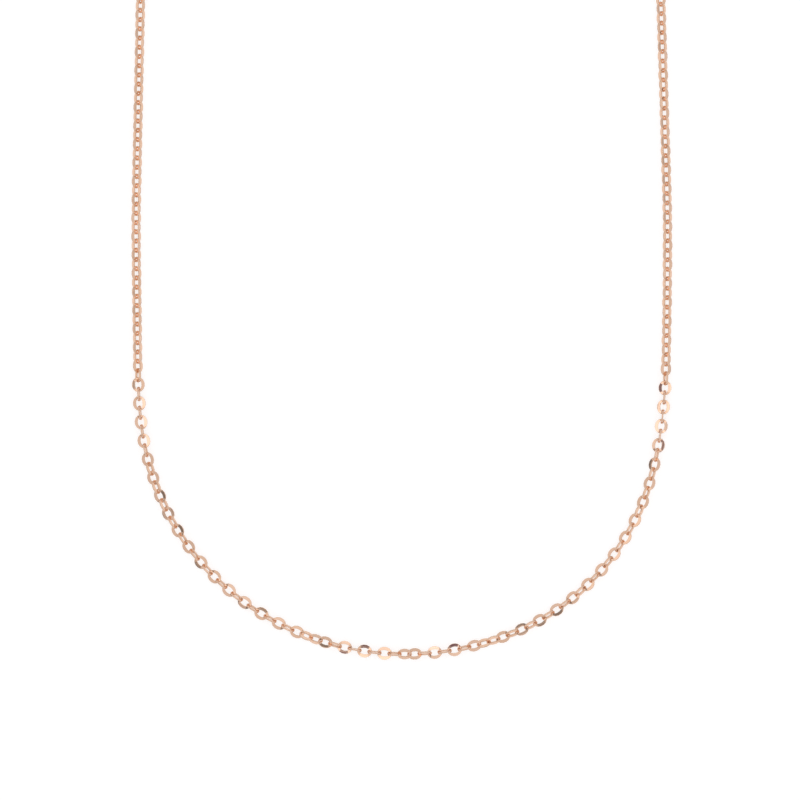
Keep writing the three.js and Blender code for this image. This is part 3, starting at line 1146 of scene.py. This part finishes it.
    def build_trigger(self) -> Piece:
        """Builds the gate, its lever and the thumb knob.

        Returns:
            The trigger, in the clasp's own millimetres.
        """
        radius = self.jaw_radius - self.gap
        tip_u = self.jaw_meets_oval(radius)
        from_u = self.pivot + self.slot_above + 2 * self.gap
        outline = self.oval_arc(self.oval_angle(tip_u), self.oval_angle(from_u))
        outline += [(from_u, self.gate_wall)]
        outline += self.jaw_arc(radius, self.gate_wall, self.oval_v(tip_u))[:-1]
        smooth = rounded(outline, self.gate_corner, self.corner_limit)
        gate = self.plate("gate", smooth, self.gate_thickness, self.gate_edge)
        base = self.thickness - 2 * self.cheek - 2 * self.gap
        foot = (self.lever_along, self.gate_wall + self.lever_width / 2)
        thumb = (-self.thumb_drop, -self.thumb_reach)
        arms = [
            self.plate("arm", self.bar(end, self.lever_width), base, self.lever_edge)
            for end in (foot, thumb)
        ]
        boss_rim = self.circle(self.pivot, 0.0, self.boss_radius)
        boss = self.plate("boss", boss_rim, base, self.boss_edge)
        thumb_u = self.pivot + thumb[0]
        knob_rim = self.circle(thumb_u, thumb[1], self.thumb_radius)
        knob = self.plate("knob", knob_rim, self.gate_thickness, self.knob_edge)
        grooves = []
        far, half = self.groove_length / 2, self.groove_width / 2
        for v in self.groove_at:
            line = self.box_outline((thumb_u - far, v - half), (thumb_u + far, v + half))
            groove = self.plate("groove", line, self.groove_depth, self.groove_edge)
            groove.data.transform(Matrix.Translation((0.0, 0.0, self.gate_thickness / 2)))
            grooves.append(groove)
        hollow = self.circle(self.pivot, 0.0, self.boss_radius + self.gap)
        recess = self.plate("recess", hollow, base, self.recess_edge)
        recess.data.transform(Matrix.Translation((0.0, 0.0, base / 2)))
        bore = self.circle(self.pivot, 0.0, self.pin_radius + self.pin_play)
        hole = self.plate("bore", bore, 2 * self.thickness, self.cut_edge)
        lever = combine(gate, [*arms, boss, knob], "UNION")
        return combine(lever, [recess, hole, *grooves], "DIFFERENCE")

    def build_pin(self) -> Piece:
        """Builds the pin with its two domed heads.

        Returns:
            The pin, in the clasp's own millimetres.
        """
        rim = self.circle(self.pivot, 0.0, self.pin_radius)
        return self.plate("pin", rim, self.thickness, self.pin_edge)

    def build_spring(self) -> Piece:
        """Builds the coil round the pin, one end towards the tail and one along the lever.

        Returns:
            The spring, in the clasp's own millimetres.
        """
        wire, radius, steps = self.spring_wire, self.spring_radius, self.spring_steps
        points = [(self.pivot - self.slot_below + wire, radius, wire)]
        for k in range(steps + 1):
            turn = math.pi / 2 - k * self.spring_turns * math.tau / steps
            height = wire + self.spring_pitch * wire * self.spring_turns * k / steps
            points.append((self.pivot + radius * math.cos(turn), radius * math.sin(turn), height))
        points.append((self.pivot - self.spring_leg * radius, -radius, points[-1][2]))
        curve = bpy.data.curves.new("spring", "CURVE")
        curve.dimensions = "3D"
        curve.bevel_depth = wire / 2
        curve.bevel_resolution = 3
        curve.use_fill_caps = True
        spline = curve.splines.new("POLY")
        spline.points.add(len(points) - 1)
        for point, co in zip(spline.points, points):
            point.co = (*co, 1.0)
        piece = bpy.data.objects.new("spring", curve)
        bpy.context.scene.collection.objects.link(piece)
        return tidy_mesh(settle(piece))

    def build(self) -> None:
        """Builds the four pieces and puts them in place."""
        made = {
            "lobster_body": self.build_body(), "lobster_trigger": self.build_trigger(),
            "trigger_pin": self.build_pin(), "trigger_spring": self.build_spring(),
        }
        for node, piece in made.items():
            piece.name = f"{node}_shaped"
            piece.data.name = piece.name
            piece.data.transform(self.matrix)
            self.pieces[node] = piece

    def dress(self) -> None:
        """Gives the pieces their metal and hands them over."""
        for node, piece in self.pieces.items():
            is_spring = node == "trigger_spring"
            piece.data.materials.clear()
            piece.data.materials.append(self.steel if is_spring else self.gold)
            shade(piece, self.smooth_to)
            body = "lobster_trigger" if node == "lobster_trigger" else "lobster_clasp"
            hand_over(piece, body, [node])


def rounded(loop: Outline, radius: float, limit: float) -> Outline:
    """Rounds the sharp corners of a closed outline.

    Args:
        loop: the outline's points.
        radius: distance along the outline from a corner to where its curve starts.
        limit: turns sharper than this many degrees are rounded.

    Returns:
        The new outline.
    """
    curves, dropped = {}, set()
    for k, point in enumerate(loop):
        here = Vector(point)
        back, on = Vector(loop[k - 1]) - here, Vector(loop[(k + 1) % len(loop)]) - here
        if math.degrees(math.pi - back.angle(on)) < limit:
            continue
        start, before = walk(loop, k, -1, radius)
        end, after = walk(loop, k, 1, radius)
        dropped |= before | after
        curves[k] = (start, here, end)
    made = []
    for k, point in enumerate(loop):
        if k in curves:
            start, here, end = curves[k]
            shares = [step / 8 for step in range(9)]
            made += [
                tuple(start * (1 - t) ** 2 + here * 2 * t * (1 - t) + end * t ** 2) for t in shares
            ]
        elif k not in dropped:
            made.append(point)
    return made


def walk(loop: Outline, k: int, step: int, distance: float) -> tuple[Vector, set[int]]:
    """Walks along a closed outline from one of its points.

    Args:
        loop: the outline's points.
        k: number of the first point.
        step: 1 to walk on, -1 to walk back.
        distance: how far.

    Returns:
        The place that is reached and the numbers of the points that were passed.
    """
    here, passed = Vector(loop[k]), set()
    while True:
        k = (k + step) % len(loop)
        leg = Vector(loop[k]) - here
        if leg.length > distance:
            return here + leg.normalized() * distance, passed
        distance -= leg.length
        here = Vector(loop[k])
        passed.add(k)


def inward_reach(loop: Outline, most: float) -> list[tuple[float, float, float]]:
    """The way inwards at each point of an outline, and how far it is clear of other sides.

    Args:
        loop: the outline's points, anticlockwise.
        most: the farthest that is asked for.

    Returns:
        The inward direction and the reach at each point.
    """
    sides = [(Vector(a), Vector(b)) for a, b in zip(loop, loop[1:] + loop[:1])]
    made = []
    for k, point in enumerate(loop):
        back = (sides[k - 1][1] - sides[k - 1][0]).normalized()
        on = (sides[k][1] - sides[k][0]).normalized()
        inward = Vector((-back.y - on.y, back.x + on.x)).normalized()
        inward /= max(inward.dot(Vector((-on.y, on.x))), 0.5)
        low, high = 0.0, most
        for _ in range(14):
            far = (low + high) / 2
            at = Vector(point) + inward * far
            near = min((at - nearest_on(at, a, b)).length for a, b in sides)
            low, high = (far, high) if near > far * 0.998 else (low, far)
        made.append((inward.x, inward.y, most if high == most else 0.94 * low))
    return made


def nearest_on(point: Vector, a: Vector, b: Vector) -> Vector:
    """The point of a side that is nearest to a point.

    Args:
        point: the point.
        a: where the side starts.
        b: where the side ends.

    Returns:
        The nearest point.
    """
    along = b - a
    share = (point - a).dot(along) / along.length_squared
    return a + along * min(max(share, 0.0), 1.0)


def tidy_mesh(piece: Piece) -> Piece:
    """Merges doubles and turns every face outwards.

    Args:
        piece: the mesh object, in millimetres.

    Returns:
        The same object.
    """
    mesh = bmesh.new()
    mesh.from_mesh(piece.data)
    bmesh.ops.remove_doubles(mesh, verts=mesh.verts, dist=0.001)
    bmesh.ops.recalc_face_normals(mesh, faces=mesh.faces)
    mesh.to_mesh(piece.data)
    mesh.free()
    return piece


def combine(base: Piece, others: list[Piece], operation: str) -> Piece:
    """Joins or cuts a solid with others, which are used up.

    Args:
        base: the solid that is changed.
        others: the solids that are added or cut away.
        operation: UNION or DIFFERENCE.

    Returns:
        The changed solid.
    """
    for other in others:
        modifier = base.modifiers.new(operation.lower(), "BOOLEAN")
        modifier.operation = operation
        modifier.solver = "MANIFOLD"
        modifier.object = other
        settle(base)
        bpy.data.objects.remove(other)
    return base


# ---------- studio ----------


@dataclass(frozen=True)
class SoftBox:
    """A soft lamp: where it stands round the middle, its size and its power."""

    name: str
    at: tuple[float, float, float]
    size: float
    power: float
    colour: Colour = (1.0, 0.98, 0.95)


@dataclass(frozen=True)
class Studio:
    """Plain pale floor, light tent, lamps and the camera straight above."""

    view_centre: tuple[float, float] = (-1.13, 57.4)
    view_width: float = 180.8
    lens: float = 400.0
    sensor: float = 36.0
    view_height: float = 1.0
    floor_half: float = 2.0
    floor_drop: float = 0.00002
    floor_grey: float = 0.4
    floor_glow: float = 0.7
    petal_count: float = 3.0
    petal_phase: float = 0.7
    petal_depth: float = 0.06
    blotch_scale: float = 2.2
    blotch_depth: float = 0.5
    spot_scale: float = 4.2
    spot_edge: tuple[float, float] = (0.3, 0.36)
    spot_dark: float = 0.3
    lamps: tuple[SoftBox, ...] = (
        SoftBox("key", (-0.55, 0.35, 0.75), 0.35, 0.08),
        SoftBox("fill", (0.6, -0.3, 0.6), 0.4, 0.05),
    )

    def lay_floor(self) -> None:
        """Lays the floor just under the necklace."""
        mesh = bpy.data.meshes.new("floor")
        half, drop, grey = self.floor_half, -self.floor_drop, self.floor_grey
        corners = ((-half, -half), (half, -half), (half, half), (-half, half))
        mesh.from_pydata([(x, y, drop) for x, y in corners], [], [(0, 1, 2, 3)])
        material = bpy.data.materials.new("floor")
        material.use_nodes = True
        sockets = material.node_tree.nodes["Principled BSDF"].inputs
        for name, value in {
            "Base Color": (grey, grey, grey, 1.0), "Roughness": 0.9, "Specular IOR Level": 0.1,
            "Emission Color": (1.0, 1.0, 1.0, 1.0), "Emission Strength": self.floor_glow,
        }.items():
            sockets[name].default_value = value
        mesh.materials.append(material)
        floor = mesh_object("floor", mesh)

    def light(self) -> None:
        """Builds the light tent round the scene and the lamps."""
        world = bpy.data.worlds.new("tent")
        bpy.context.scene.world = world
        world.use_nodes = True
        tree = NodeTree(world.node_tree)
        ground = world.node_tree.nodes["Background"]
        way = tree.add("ShaderNodeTexCoord").outputs["Generated"]
        parts = tree.add("ShaderNodeSeparateXYZ", {0: way})
        down = tree.math("ARCCOSINE", parts.outputs["Z"])
        round_it = tree.math("ARCTAN2", parts.outputs["Y"], parts.outputs["X"])
        ramp = tree.add("ShaderNodeValToRGB", {0: tree.math("DIVIDE", down, math.pi)})
        self.fill_ramp(ramp)
        waves = tree.math("MULTIPLY_ADD", round_it, self.petal_count, self.petal_phase)
        petals = tree.math("MULTIPLY", tree.math("SINE", waves), self.petal_depth)
        cloud = {"Vector": way, "Scale": self.blotch_scale, "Detail": 1.0}
        blotch = tree.add("ShaderNodeTexNoise", cloud).outputs["Fac"]
        blotches = tree.math("MULTIPLY_ADD", blotch, self.blotch_depth, -self.blotch_depth / 2)
        uneven = tree.math("ADD", petals, blotches)
        cloud = {"Vector": way, "Scale": self.spot_scale, "Detail": 0.0}
        spots = tree.add("ShaderNodeTexNoise", cloud).outputs["Fac"]
        low, high = self.spot_edge
        limits = {0: spots, 1: low, 2: high, 3: self.spot_dark, 4: 1.0}
        shade_of_spots = tree.add("ShaderNodeMapRange", limits).outputs[0]
        gain = tree.math("MULTIPLY", tree.math("ADD", 1.0, uneven), shade_of_spots)
        tree.join(tree.vector("SCALE", ramp.outputs["Color"], scale=gain), ground, "Color")
        ground.inputs["Strength"].default_value = 1.0
        for lamp in self.lamps:
            data = bpy.data.lights.new(lamp.name, "AREA")
            data.shape = "DISK"
            data.size = lamp.size
            data.energy = lamp.power
            data.color = lamp.colour
            light = bpy.data.objects.new(lamp.name, data)
            light.location = lamp.at
            light.rotation_euler = Vector(lamp.at).to_track_quat("Z", "Y").to_euler()
            bpy.context.scene.collection.objects.link(light)

    @staticmethod
    def fill_ramp(ramp: Node) -> None:
        """Sets the tent's brightness: zenith at 0, horizon at 0.5, ground at 1.

        Args:
            ramp: the Color Ramp node.
        """
        stops = (
            (0.0, (0.19, 0.13, 0.19)), (0.023, (0.20, 0.15, 0.20)), (0.029, (0.95, 0.93, 0.95)),
            (0.035, (1.5, 1.5, 1.53)), (0.08, (1.48, 1.48, 1.5)), (0.096, (1.02, 1.0, 1.0)),
            (0.17, (0.94, 0.92, 0.93)), (0.3, (0.84, 0.82, 0.83)), (0.46, (0.88, 0.87, 0.88)),
            (1.0, (0.7, 0.68, 0.67)),
        )
        elements = ramp.color_ramp.elements
        for place, _ in stops[1:-1]:
            elements.new(place)
        for element, (place, colour) in zip(elements, stops):
            element.position = place
            element.color = (*colour, 1.0)

    def aim(self, shift: Vector) -> None:
        """Sets the camera straight above.

        Args:
            shift: move of the chain's own origin, in millimetres.
        """
        data = bpy.data.cameras.new("camera")
        data.lens = self.lens
        data.sensor_width = self.sensor
        data.clip_end = 10.0
        camera = bpy.data.objects.new("camera", data)
        x, y = self.view_centre
        far = self.view_width * self.lens / self.sensor
        camera.location = Vector((x + shift.x, y + shift.y, far + self.view_height)) * MM
        bpy.context.scene.collection.objects.link(camera)
        bpy.context.scene.camera = camera
        bpy.context.scene.view_settings.view_transform = "Standard"


def main() -> None:
    """Builds the necklace and its studio."""
    logging.basicConfig(level=logging.INFO, format="%(message)s")
    chain = Chain()
    chain.build()
    chain.dress()
    gold = PolishedMetal("rose_gold_polished", (0.86, 0.58, 0.42), (0.78, 0.49, 0.34), 0.14).make()
    steel = PolishedMetal("spring_wire_steel", (0.62, 0.62, 0.64), (0.48, 0.48, 0.5), 0.3).make()
    rings = (
        WireRing("clasp_jump_ring", "clasp_ring_swing", 1.8, 0.6, gold, upright=True),
        WireRing("end_jump_ring", "end_jump_ring_swing", 1.8, 0.6, gold, upright=True),
        WireRing("end_ring", "end_ring_swing", 2.5, 0.8, gold, upright=False),
    )
    for ring in rings:
        ring.build()
        ring.dress()
    clasp = LobsterClasp(gold, steel)
    clasp.build()
    clasp.dress()
    studio = Studio()
    studio.lay_floor()
    studio.light()
    studio.aim(chain.shift(chain.line.lay()))


if __name__ == "__main__":
    main()
